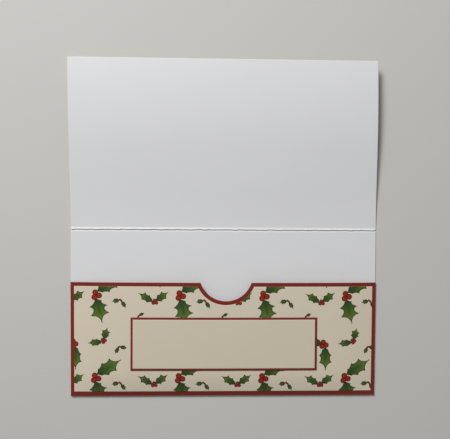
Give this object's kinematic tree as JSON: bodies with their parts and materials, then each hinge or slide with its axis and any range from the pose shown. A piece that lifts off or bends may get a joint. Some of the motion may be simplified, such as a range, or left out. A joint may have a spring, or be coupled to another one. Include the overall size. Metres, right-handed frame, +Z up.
{
  "type": "gift card holder",
  "caption": "Folded card holder lying open: a white cover on a creased hinge, and a lower panel with a bordered pocket, a thumb notch in its mouth and a blank framed label.",
  "frame": {"origin": "centre of the back panel's underside, on the surface it lies on", "axes": "+X along the crease, +Y from the pocket's foot to the cover's far edge, +Z up out of the table"},
  "size_m": [0.1712, 0.1862, 0.0066],
  "materials": {
    "white_card": "smooth uncoated white card",
    "red_card": "uncoated deep red card",
    "printed_paper": "matt cream paper with a printed holly pattern",
    "label_card": "matt plain cream card",
    "tape": "translucent double-sided tape"
  },
  "bodies": {
    "base": {"back_panel": "white_card", "fold_bead": "white_card", "pocket_front": "red_card", "pocket_fold_left": "red_card", "pocket_fold_right": "red_card", "pocket_fold_foot": "red_card", "pocket_flap_left": "red_card", "pocket_flap_right": "red_card", "pocket_flap_foot": "red_card", "flap_tape_left": "tape", "flap_tape_right": "tape", "flap_tape_foot": "tape", "patterned_paper": "printed_paper", "paper_tape": "tape", "label_mat": "red_card", "mat_tape": "tape", "label_panel": "label_card", "label_tape": "tape"},
    "cover": {"cover_panel": "white_card"}
  },
  "joints": [
    {"name": "cover_fold", "type": "hinge", "parent": "base", "child": "cover", "pos_m": [0, 0.0465, 0.0004], "axis": [1, 0, 0], "range_deg": [-3, 165]}
  ]
}
